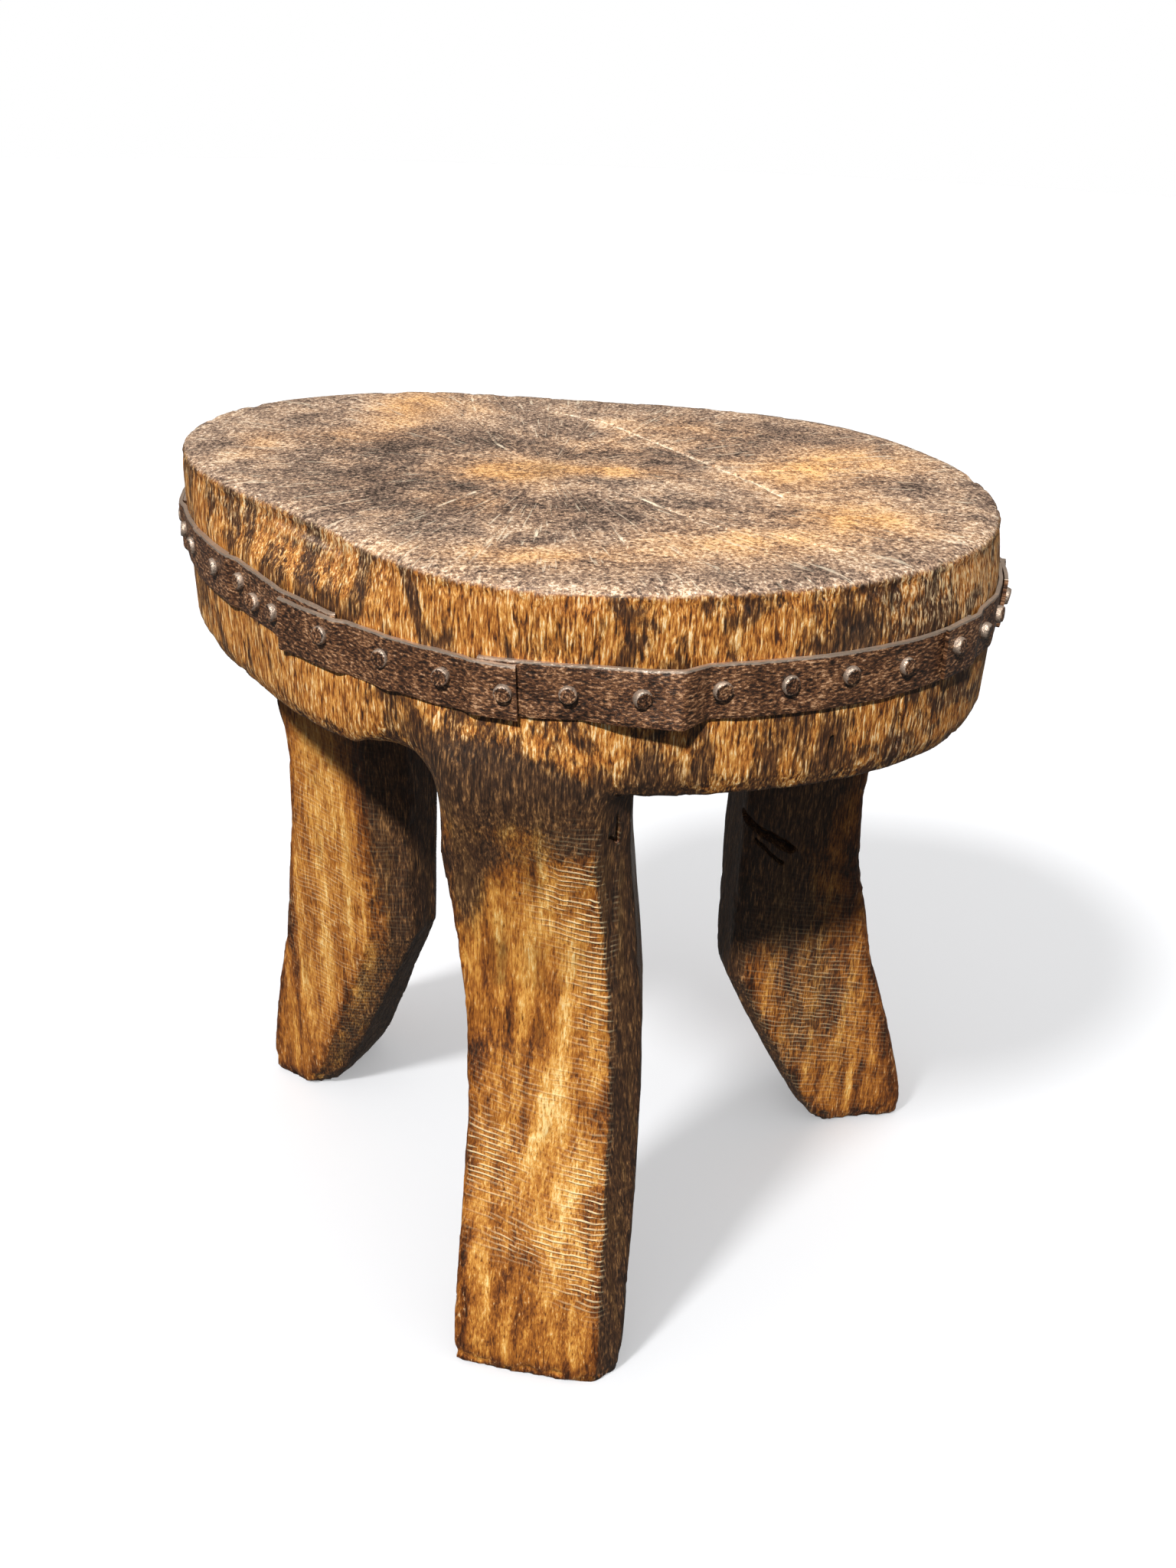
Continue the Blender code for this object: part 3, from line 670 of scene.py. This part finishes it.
# hollows on the sides are painted darker
darker_hollows = put("ShaderNodeMath", TIMES, {0: maps["hollow"], 1: side_only})
colour = side_colour
for mask, over in ((maps["seat_face"], top_colour), (saw_lines, linear("#F2DDB2")),
                   (wear, linear("#E2CDA6")), (darker_hollows, linear("#1A0F09"))):
    colour = put("ShaderNodeMix", COLOURS, {0: mask, 6: colour, 7: over}, 2)
print("wood: wear and saw strokes added, rungs", RUNG_PITCH / MM, "mm apart")

# %% [markdown]
# Bump carries what is too fine for the mesh: fibres under a millimetre, pores, saw rungs.
# Roughness follows the tone, because pale worn ridges are waxed and dark pits are matt.

# %% Wood: bump, roughness and shader
grain_height = weighted_sum(put, 0.0, (streak, 0.9), (fibre_noise, 0.8), (saw_lines, 0.9))
seat_height = weighted_sum(put, 0.0, (pores, 0.9), (rays["fine"], 0.8), (rays["hair"], 0.5), (mottle, 0.7))
height = put("ShaderNodeMix", {"data_type": "FLOAT"}, {
    0: maps["seat_face"], 2: grain_height, 3: seat_height})
bump = put("ShaderNodeBump", inputs={"Strength": 0.8, "Distance": 0.9 * MM, "Height": height})
rough = put("ShaderNodeMapRange", inputs={
    "Value": streak, **limits(0.3, 0.7, 0.62, 0.42)})
wood_shader = put("ShaderNodeBsdfPrincipled", inputs={
    "Base Color": colour, "Roughness": weighted_sum(put, rough, (maps["arris"], -0.16)),
    "IOR": 1.48, "Normal": bump})
put("ShaderNodeOutputMaterial", inputs={"Surface": wood_shader})
log_body.data.materials.clear()
log_body.data.materials.append(hewn_wood)
print("wood material:", len(hewn_wood.node_tree.nodes), "nodes")

# %% [markdown]
# The straps are hoop iron, rolled flat bar from an old cask, rusted dark. They were cold
# hammered round the seat, so they buckle between nails, kink on the log's corners and
# spring off the wood at their cut ends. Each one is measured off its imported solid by
# casting rays at it, then rebuilt on a fine grid that can carry those bends.

# %% Measure one strap off its solid
STRAP_STEP = 1.4 * MM
STRAP_THICK = 1.6 * MM
EDGE_BAND = 8 * MM      # points further than this above or below the middle are on an edge


def polar(points):
    offset = points[:, :2] - HEART
    return np.degrees(np.arctan2(offset[:, 1], offset[:, 0])), np.linalg.norm(offset, axis=1)


def measured_strap(name):
    """Angles, upper edge, lower edge and outer radius along a strap, from its solid."""
    mesh = nodes[name].data
    co = points_of(mesh)
    angle, radius = polar(co)
    turn = np.radians(angle)
    middle = math.degrees(math.atan2(np.sin(turn).mean(), np.cos(turn).mean()))
    angle = (angle - middle + 180) % 360 - 180
    above = co[:, 2] - co[:, 2].mean()
    upper, lower = [np.polyfit(angle[edge], co[edge, 2], 1)
                    for edge in (above > EDGE_BAND, above < -EDGE_BAND)]
    caster = BVHTree.FromPolygons([v.co for v in mesh.vertices], [p.vertices[:] for p in mesh.polygons])
    run = math.radians(angle.max() - angle.min()) * radius.mean()
    stations = np.linspace(angle.min() + 0.06, angle.max() - 0.06, int(run / STRAP_STEP))
    found = []
    for a in stations:
        turn = math.radians(a + middle)
        way = Vector((math.cos(turn), math.sin(turn), 0))
        hits = []
        for share in (0.06, 0.94):
            height = np.polyval(lower, a) * (1 - share) + np.polyval(upper, a) * share
            centre = Vector((*HEART, height))
            hit = caster.ray_cast(centre + way * 0.3, -way)[0]
            hits.append((hit - centre).length if hit else math.nan)
        found.append(np.nanmean(hits))
    found = np.array(found)
    missed = np.isnan(found)
    found[missed] = np.interp(stations[missed], stations[~missed], found[~missed])
    return stations + middle, np.polyval(upper, stations), np.polyval(lower, stations), found


print("strap 4 runs", len(measured_strap("hoop_iron_strap_4")[0]), "stations")

# %% [markdown]
# Each strap becomes a closed plate: an outer grid, an inner grid one plate thickness
# behind it, and a rim of quads round the edge. Kinks and sprung ends are short lists of
# angle, width and lift. Nails pull the plate in, so it dimples round each one.

# %% Build the straps
KINKS = [(-71.2, 15.0, 4.2, 7.0), (-121.0, 3.6, 2.6, 0.9), (-148.0, 4.0, 2.8, 1.0),
         (-17.0, 3.0, 3.0, 0.8), (118.0, 6.0, 3.2, 1.2)]   # angle, degrees before and after it, rise in mm
SPRUNG_ENDS = {   # lift in mm at the first and last end
    "hoop_iron_strap_1": (0.0, 0.3), "hoop_iron_strap_3": (0.5, 0.5),
    "hoop_iron_strap_5": (0.6, 3.6), "hoop_iron_strap_7": (0.6, 0.5),
}
END_CUT = {"hoop_iron_strap_5": (-0.8, 2.2), "hoop_iron_strap_3": (0.3, -0.4)}   # slant, degrees
ROWS = 17               # points across a strap
HEAD_DEPTH = 0.6 * MM   # points this close to a nail's outer end are the face of its head
FOLD_NAIL = ([0.0243, -0.1384, 0.342], [0.22, -0.976, 0.0])   # place, and the way it faces


def nail_seat_points():
    seats = []
    for name in nail_names:
        co = points_of(nodes[name].data)
        radius = polar(co)[1]
        head = co[radius > radius.max() - 1.4 * MM].mean(0)
        tip = co[radius < radius.min() + 1.0 * MM].mean(0)
        face = co[radius > radius.max() - HEAD_DEPTH].mean(0)
        seats.append((face, (head - tip) / np.linalg.norm(head - tip)))
    return seats


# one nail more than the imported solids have: it holds strap 4 just before its fold
nail_seats = nail_seat_points() + [tuple(map(np.array, FOLD_NAIL))]
nail_places = np.array([s[0] for s in nail_seats])


def build_strap(index, name):
    angles, upper, lower, radius = measured_strap(name)
    count = len(angles)
    a, s = np.meshgrid(angles, np.linspace(0, 1, ROWS), indexing="ij")
    cut_first, cut_last = END_CUT.get(name, (0.25, -0.25))
    along = np.linspace(0, 1, count)[:, None]
    a = a + (s - 0.5) * (cut_first * (1 - along) ** 8 + cut_last * along ** 8)
    arc = np.radians(a) * radius.mean()
    height = lower[:, None] * (1 - s) + upper[:, None] * s
    field = np.c_[arc.ravel(), height.ravel(), np.full(arc.size, index * 0.37)]
    wavy = ripple(field * (1, 0, 1), (9, 9, 9), 21 + index).reshape(a.shape)
    height = height + (s - 0.5) * 2 * wavy * 0.22 * MM
    edge = np.minimum(s, 1 - s).ravel()
    lift = 0.25 * ripple(field, (16, 14, 30), 22) + 0.13 * ripple(field, (4.2, 4.2, 30), 23)
    lift += 0.06 * ripple(field, (1.9, 1.9, 30), 24) - 0.25 * np.clip(1 - edge / 0.06, 0, 1) ** 2
    lift = lift.reshape(a.shape)
    for angle, before, after, rise in KINKS:
        away = (a - angle + 180) % 360 - 180
        fold = np.clip(1 - np.abs(away) / np.where(away < 0, before, after), 0, 1)
        lift += rise * fold * (0.75 + 0.5 * (1 - s))
    first, last = SPRUNG_ENDS.get(name, (0.2, 0.2))
    run = along * math.radians(angles[-1] - angles[0]) * radius.mean() / MM
    lift += first * np.clip(1 - run / 9, 0, 1) ** 1.6 + last * np.clip(1 - (run[-1] - run) / 13, 0, 1) ** 1.6
    r, turn = radius[:, None], np.radians(a)
    plate = np.stack([HEART[0] + r * np.cos(turn), HEART[1] + r * np.sin(turn), height], -1)
    normal = np.cross(np.gradient(plate, axis=0), (0, 0, 1.0))
    normal /= np.linalg.norm(normal, axis=-1, keepdims=True)
    near = np.min(np.linalg.norm(plate[:, :, None, :] - nail_places, axis=-1), axis=-1)
    lift -= 0.45 * np.exp(-(near / (4.6 * MM)) ** 2)
    outer = plate + normal * (lift * MM)[..., None]
    inner = outer - normal * STRAP_THICK
    grid = np.arange(count * ROWS).reshape(count, ROWS)
    quads = np.stack([grid[:-1, :-1], grid[1:, :-1], grid[1:, 1:], grid[:-1, 1:]], -1).reshape(-1, 4)
    loop = np.r_[grid[:-1, 0], grid[-1, :-1], grid[:0:-1, -1], grid[0, :0:-1]]
    following = np.roll(loop, -1)
    rim = np.c_[following, loop, loop + grid.size, following + grid.size]
    mesh = bpy.data.meshes.new(name + "_forged")
    mesh.from_pydata(np.r_[outer.reshape(-1, 3), inner.reshape(-1, 3)].tolist(), [],
                     np.r_[quads, quads[:, ::-1] + grid.size, rim].tolist())
    store(mesh, "below_edge", [1 - s, 1 - s])
    store(mesh, "along", [arc, arc])
    shade_smooth(mesh)
    mesh.set_sharp_from_angle(angle=math.radians(50))
    return add_object("forged_" + name, mesh)


straps = [build_strap(i, name) for i, name in enumerate(strap_names)]
print("straps:", [len(strap.data.polygons) for strap in straps], "faces")

# %% [markdown]
# Clout nails hold the straps: short hand-made nails with broad flat heads, each a little
# different after hammering. There are forty-one, so Geometry Nodes puts one low dome on every
# seat, turned to face outward, spun, tilted and sized at random with fixed seeds, and then
# dents them all with noise. The tree ends in real geometry, because an export drops instances.

# %% Nail heads with Geometry Nodes
SUNK = 1.35 * MM        # how far a dome's middle lies below the face of its head
nail_iron = new_material("clout_nail_rusted_iron")
nail_mesh = bpy.data.meshes.new("nail_seats")
nail_mesh.from_pydata([(face - way * SUNK).tolist() for face, way in nail_seats], [], [])
store(nail_mesh, "facing", [way for face, way in nail_seats], "FLOAT_VECTOR", "vector")
nail_heads = add_object("clout_nail_heads", nail_mesh)

head_tree = bpy.data.node_groups.new("hammered nail heads", "GeometryNodeTree")
add_socket = head_tree.interface.new_socket
add_socket("Seats", in_out="INPUT", socket_type="NodeSocketGeometry")
head_sizes = [(add_socket(label, in_out="INPUT", socket_type="NodeSocketFloat"), value) for label, value in (
    ("Head radius", 3.6 * MM), ("Head height", 3.3 * MM), ("Dent depth", 0.30 * MM))]
add_socket("Heads", in_out="OUTPUT", socket_type="NodeSocketGeometry")
wire = partial(add_node, head_tree)
given = wire("NodeGroupInput").node.outputs
dome = wire("GeometryNodeMeshUVSphere", inputs={"Segments": 18, "Rings": 12, "Radius": 1.0})
where = wire("GeometryNodeInputPosition")
axes = wire("ShaderNodeSeparateXYZ", inputs={0: where}).node.outputs
hammered = wire("ShaderNodeMath", {"operation": "MINIMUM"}, {0: axes["Z"], 1: 0.5})
flattened = wire("ShaderNodeCombineXYZ", inputs={"X": axes["X"], "Y": axes["Y"], "Z": hammered})
flat_dome = wire("GeometryNodeSetPosition", inputs={"Geometry": dome, "Position": flattened})
size = wire("ShaderNodeCombineXYZ", inputs={
    "X": given["Head radius"], "Y": given["Head radius"], "Z": given["Head height"]})
flat_place = wire("ShaderNodeVectorMath", TIMES, {0: where, 1: (1, 1, 0)})
from_centre = wire("ShaderNodeVectorMath", {"operation": "LENGTH"}, {0: flat_place}, "Value")
# the distance from the middle marks each head's rim, which the iron paints pale as rubbed metal and painted
# highlight
marked = wire("GeometryNodeStoreNamedAttribute", {"data_type": "FLOAT", "domain": "POINT"}, {
    "Geometry": flat_dome, "Name": "head_edge", "Value": from_centre})
low_dome = wire("GeometryNodeTransform", inputs={"Geometry": marked, "Scale": size})
face_out = wire("GeometryNodeInputNamedAttribute", {"data_type": "FLOAT_VECTOR"}, {"Name": "facing"})
turned = wire("FunctionNodeAlignRotationToVector", {"axis": "Z"}, {"Vector": face_out})
tilt = wire("FunctionNodeRandomValue", {"data_type": "FLOAT_VECTOR"}, {
    0: (-0.16, -0.16, 0.0), 1: (0.16, 0.16, 0.0), "Seed": 5})
spin = wire("FunctionNodeRandomValue", {"data_type": "FLOAT"}, {2: 0.0, 3: 6.283, "Seed": 11}, 1)
for turn_by in (wire("FunctionNodeEulerToRotation", inputs={"Euler": tilt}),
                wire("FunctionNodeAxisAngleToRotation", inputs={"Axis": (0, 0, 1), "Angle": spin})):
    turned = wire("FunctionNodeRotateRotation", {"rotation_space": "LOCAL"}, {
        "Rotation": turned, "Rotate By": turn_by})
girth = wire("FunctionNodeRandomValue", {"data_type": "FLOAT_VECTOR"}, {
    0: (0.90, 0.90, 0.85), 1: (1.12, 1.12, 1.25), "Seed": 7})
heads = wire("GeometryNodeInstanceOnPoints", inputs={
    "Points": given["Seats"], "Instance": low_dome, "Rotation": turned, "Scale": girth})
solid = wire("GeometryNodeRealizeInstances", inputs={"Geometry": heads})
dent = wire("ShaderNodeTexNoise", inputs={"Scale": 420.0, "Detail": 2.0}, out="Color")
centred = wire("ShaderNodeVectorMath", {"operation": "SUBTRACT"}, {0: dent, 1: (0.5, 0.5, 0.5)})
moved = wire("ShaderNodeVectorMath", {"operation": "SCALE"}, {0: centred, "Scale": given["Dent depth"]})
dented = wire("GeometryNodeSetPosition", inputs={"Geometry": solid, "Offset": moved})
dressed = wire("GeometryNodeSetMaterial", inputs={"Geometry": dented, "Material": nail_iron})
wire("NodeGroupOutput", inputs={"Heads": dressed})
heads_modifier = nail_heads.modifiers.new("nail heads", "NODES")
heads_modifier.node_group = head_tree
for socket, value in head_sizes:
    heads_modifier[socket.identifier] = value
settle(nail_heads)
shade_smooth(nail_heads.data)
print("nail heads:", len(nail_seats), "nails,", len(nail_heads.data.polygons), "faces")

# %% [markdown]
# Rusted iron: a matt brown skin of old rust with darker scale, paler bloom in the pits,
# and grey metal showing through on edges that hands and hammer keep rubbing. That pale
# band is also a painted highlight: on the straps it runs along the upper edge only, where
# light from above falls, and on the nails round the rim of each head. Only the band is
# metallic, so one mask drives both the colour and the metallic socket.

# %% Iron: dark rust with rubbed edges and painted highlights
def rust_nodes(material, edge_map, edge_limits, rolled):
    """Rust, rubbed bare and painted with a pale highlight where the edge map says; a rolled bar has long
    flecks.
    """
    put = partial(add_node, material.node_tree)
    place = put("ShaderNodeTexCoord", out="Object")
    fleck_space = place
    if rolled:      # flecks run along the strap, 2.4 mm long and 1 mm high
        along = put("ShaderNodeAttribute", {"attribute_name": "along"}, out="Fac")
        squeezed = put("ShaderNodeMath", TIMES, {0: along, 1: 0.42})
        height = put("ShaderNodeSeparateXYZ", inputs={0: place}, out="Z")
        fleck_space = put("ShaderNodeCombineXYZ", inputs={"X": squeezed, "Z": height})
    cloud = put("ShaderNodeTexNoise", inputs={
        "Vector": place, "Scale": 95.0, "Detail": 6.0, "Roughness": 0.7, "Distortion": 0.4})
    pits = put("ShaderNodeTexNoise", inputs={
        "Vector": fleck_space, "Scale": 1000.0, "Detail": 3.0, "Roughness": 0.7})
    flakes = put("ShaderNodeTexVoronoi", {"feature": "F1"}, {"Vector": place, "Scale": 330.0})
    tone = put("ShaderNodeMapRange", inputs={
        "Value": weighted_sum(put, -0.22, (pits, 1.15), (cloud, 0.52)),
        **limits(0.45, 0.81)})
    rust = put("ShaderNodeValToRGB", {"stops": [
        (0.00, "#150C07"), (0.28, "#372318"), (0.52, "#5C3B26"), (0.76, "#8C6343"),
        (1.00, "#C8A07C")]}, {"Fac": tone})
    # pale band along an edge: rubbed bare metal and painted highlight
    rubbed_edge_and_highlight = put("ShaderNodeMapRange", inputs={
        "Value": put("ShaderNodeAttribute", {"attribute_name": edge_map}, out="Fac"),
        **limits(*edge_limits)})
    bare_metal_and_highlight = put("ShaderNodeMapRange", SMOOTH, {
        "Value": weighted_sum(put, -0.62, (pits, 1.1), (rubbed_edge_and_highlight, 1.0)),
        **limits(0.02, 0.35, 0.0, 0.75)})
    # pale grey of that band, for rubbed metal and painted highlight
    colour = put("ShaderNodeMix", COLOURS, {0: bare_metal_and_highlight, 6: rust, 7: linear("#D6C4B4")}, 2)
    bump = put("ShaderNodeBump", inputs={
        "Strength": 0.75, "Distance": 0.6 * MM,
        "Height": weighted_sum(put, 0.0, (cloud, 0.6), (pits, 0.9), (flakes, 0.35))})
    rough = put("ShaderNodeMapRange", inputs={
        "Value": cloud, **limits(0.3, 0.7, 0.36, 0.54)})
    shader = put("ShaderNodeBsdfPrincipled", inputs={
        "Base Color": colour, "Roughness": rough, "Metallic": bare_metal_and_highlight, "Normal": bump})
    put("ShaderNodeOutputMaterial", inputs={"Surface": shader})


hoop_iron = new_material("hoop_iron_dark_rust")
# pale band on each strap's upper edge only, where light from above falls: rubbed metal and painted highlight
rust_nodes(hoop_iron, "below_edge", (0.0, 0.05, 0.95, 0.0), rolled=True)
# pale band round each nail head's rim: rubbed metal and painted highlight
rust_nodes(nail_iron, "head_edge", (0.74, 0.93, 0.0, 0.36), rolled=False)
for strap in straps:
    strap.data.materials.append(hoop_iron)
print("iron materials:", hoop_iron.name, "and", nail_iron.name)

# %% [markdown]
# Every piece rides on the one body, because nothing on this stool moves, and each names
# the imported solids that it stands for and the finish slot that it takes.

# %% Hand the pieces to the frame
for piece, hides, finish in (
        [(log_body, ["hewn_log_body"], "hewn_wood"), (nail_heads, nail_names, "nail_iron")]
        + [(strap, [name], "hoop_iron") for strap, name in zip(straps, strap_names)]):
    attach(piece, "root")
    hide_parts(*hides)
print("pieces handed over:", 2 + len(straps))

# %% [markdown]
# The studio: a pale floor, a bright wall far away all round, a warm key light high in front
# and a little to the left, and a dim sky that fills the shadows. The floor and wall are seen
# only by the camera, so they don't wash out the dark wood. A weak fill from low behind shows
# the back without touching the seat. The floor has its own lights, which keep it near white
# and leave a soft grey shadow.

# %% Floor, wall and lights
def stage_piece(name, paint, shader, height, make, **sizes):
    """A floor or wall that the camera sees, and that neither lights nor shades the stool."""
    material = new_material(paint)
    put = partial(add_node, material.node_tree)
    put("ShaderNodeOutputMaterial", inputs={"Surface": put(*shader)})
    mesh = bpy.data.meshes.new(name)
    mesh.materials.append(material)
    bm = bmesh.new()
    make(bm, segments=96, **sizes)
    bm.to_mesh(mesh)
    bm.free()
    thing = add_object(name, mesh)
    thing.location.z = height
    for ray in ("diffuse", "glossy", "shadow"):
        setattr(thing, "visible_" + ray, False)
    return thing


floor = stage_piece(
    "studio_floor", "pale_studio_floor", ("ShaderNodeBsdfPrincipled", {}, {
        "Base Color": linear("#F4F5F7"), "Roughness": 0.9, "Specular IOR Level": 0.0}),
    -0.2 * MM, bmesh.ops.create_circle, cap_ends=True, radius=6.0)
wall = stage_piece(
    "studio_wall", "white_studio_wall", ("ShaderNodeEmission", {}, {
        "Color": (1, 1, 1, 1), "Strength": 1.0}),
    5.99, bmesh.ops.create_cone, radius1=5.9, radius2=5.9, depth=12.0)

wood_lit = bpy.data.collections.new("lit by the key")
floor_lit = bpy.data.collections.new("lit by the floor lights")
for piece in [log_body, nail_heads] + straps:
    wood_lit.objects.link(piece)
floor_lit.objects.link(floor)
SUNS = [   # name, the way to it, strength, softness in degrees, colour, what it lights, shadows
    ("key", (-0.25, -0.80, 1.0), 5.4, 4.0, (1.0, 0.96, 0.90), wood_lit, True),
    ("back fill", (0.25, 0.95, -0.32), 1.1, 8.0, (1.0, 0.97, 0.94), wood_lit, True),
    ("floor key", (-0.62, -0.60, 1.0), 1.56, 9.0, (1, 1, 1), floor_lit, True),
    ("floor overhead", (0, 0, 1), 1.25, 150.0, (1, 1, 1), floor_lit, True),
    ("floor fill", (0, 0, 1), 1.07, 20.0, (1, 1, 1), floor_lit, False),
]
for name, toward, strength, softness, colour, receivers, shadows in SUNS:
    light = bpy.data.lights.new(name, "SUN")
    light.energy = strength
    light.angle = math.radians(softness)
    light.color = colour
    light.use_shadow = shadows
    lamp = add_object(name, light)
    lamp.rotation_euler = Vector(toward).to_track_quat("Z", "Y").to_euler()
    lamp.light_linking.receiver_collection = receivers
sky = bpy.data.worlds.new("dim studio sky")
sky.use_nodes = True
sky_light = sky.node_tree.nodes["Background"].inputs
sky_light["Color"].default_value = (1.0, 0.97, 0.93, 1)
sky_light["Strength"].default_value = 0.14
bpy.context.scene.world = sky
bpy.context.scene.view_settings.view_transform = "Standard"
print("lights set:", len(SUNS), "suns and a dim sky")

# %% [markdown]
# The camera stands a little over half a metre in front of the stool's middle and as far
# above the floor, tipped down 29 degrees and rolled by 2, with a lens a little wider than
# normal, so that the near leg looms and the far ones fall away.

# %% Camera
CAMERA_PLACE = (0.00549, -0.58447, 0.55425)
DOWN, ROLL = math.radians(29.0), math.radians(2.0)
camera_data = bpy.data.cameras.new("camera")
camera_data.sensor_width = 36.0
camera_data.lens = 31.640625      # mm, on a sensor 36 mm along its longer side
camera = add_object("camera", camera_data)
ahead = Vector((0, math.cos(DOWN), -math.sin(DOWN)))
level_up = Vector((0, math.sin(DOWN), math.cos(DOWN)))
level_right = Vector((1, 0, 0))
right = level_right * math.cos(ROLL) + level_up * math.sin(ROLL)
up = level_up * math.cos(ROLL) - level_right * math.sin(ROLL)
camera.matrix_world = Matrix.Translation(CAMERA_PLACE) @ Matrix((right, up, -ahead)).transposed().to_4x4()
bpy.context.scene.camera = camera
print("camera at", [round(v, 3) for v in CAMERA_PLACE], "lens", round(camera_data.lens, 2), "mm")
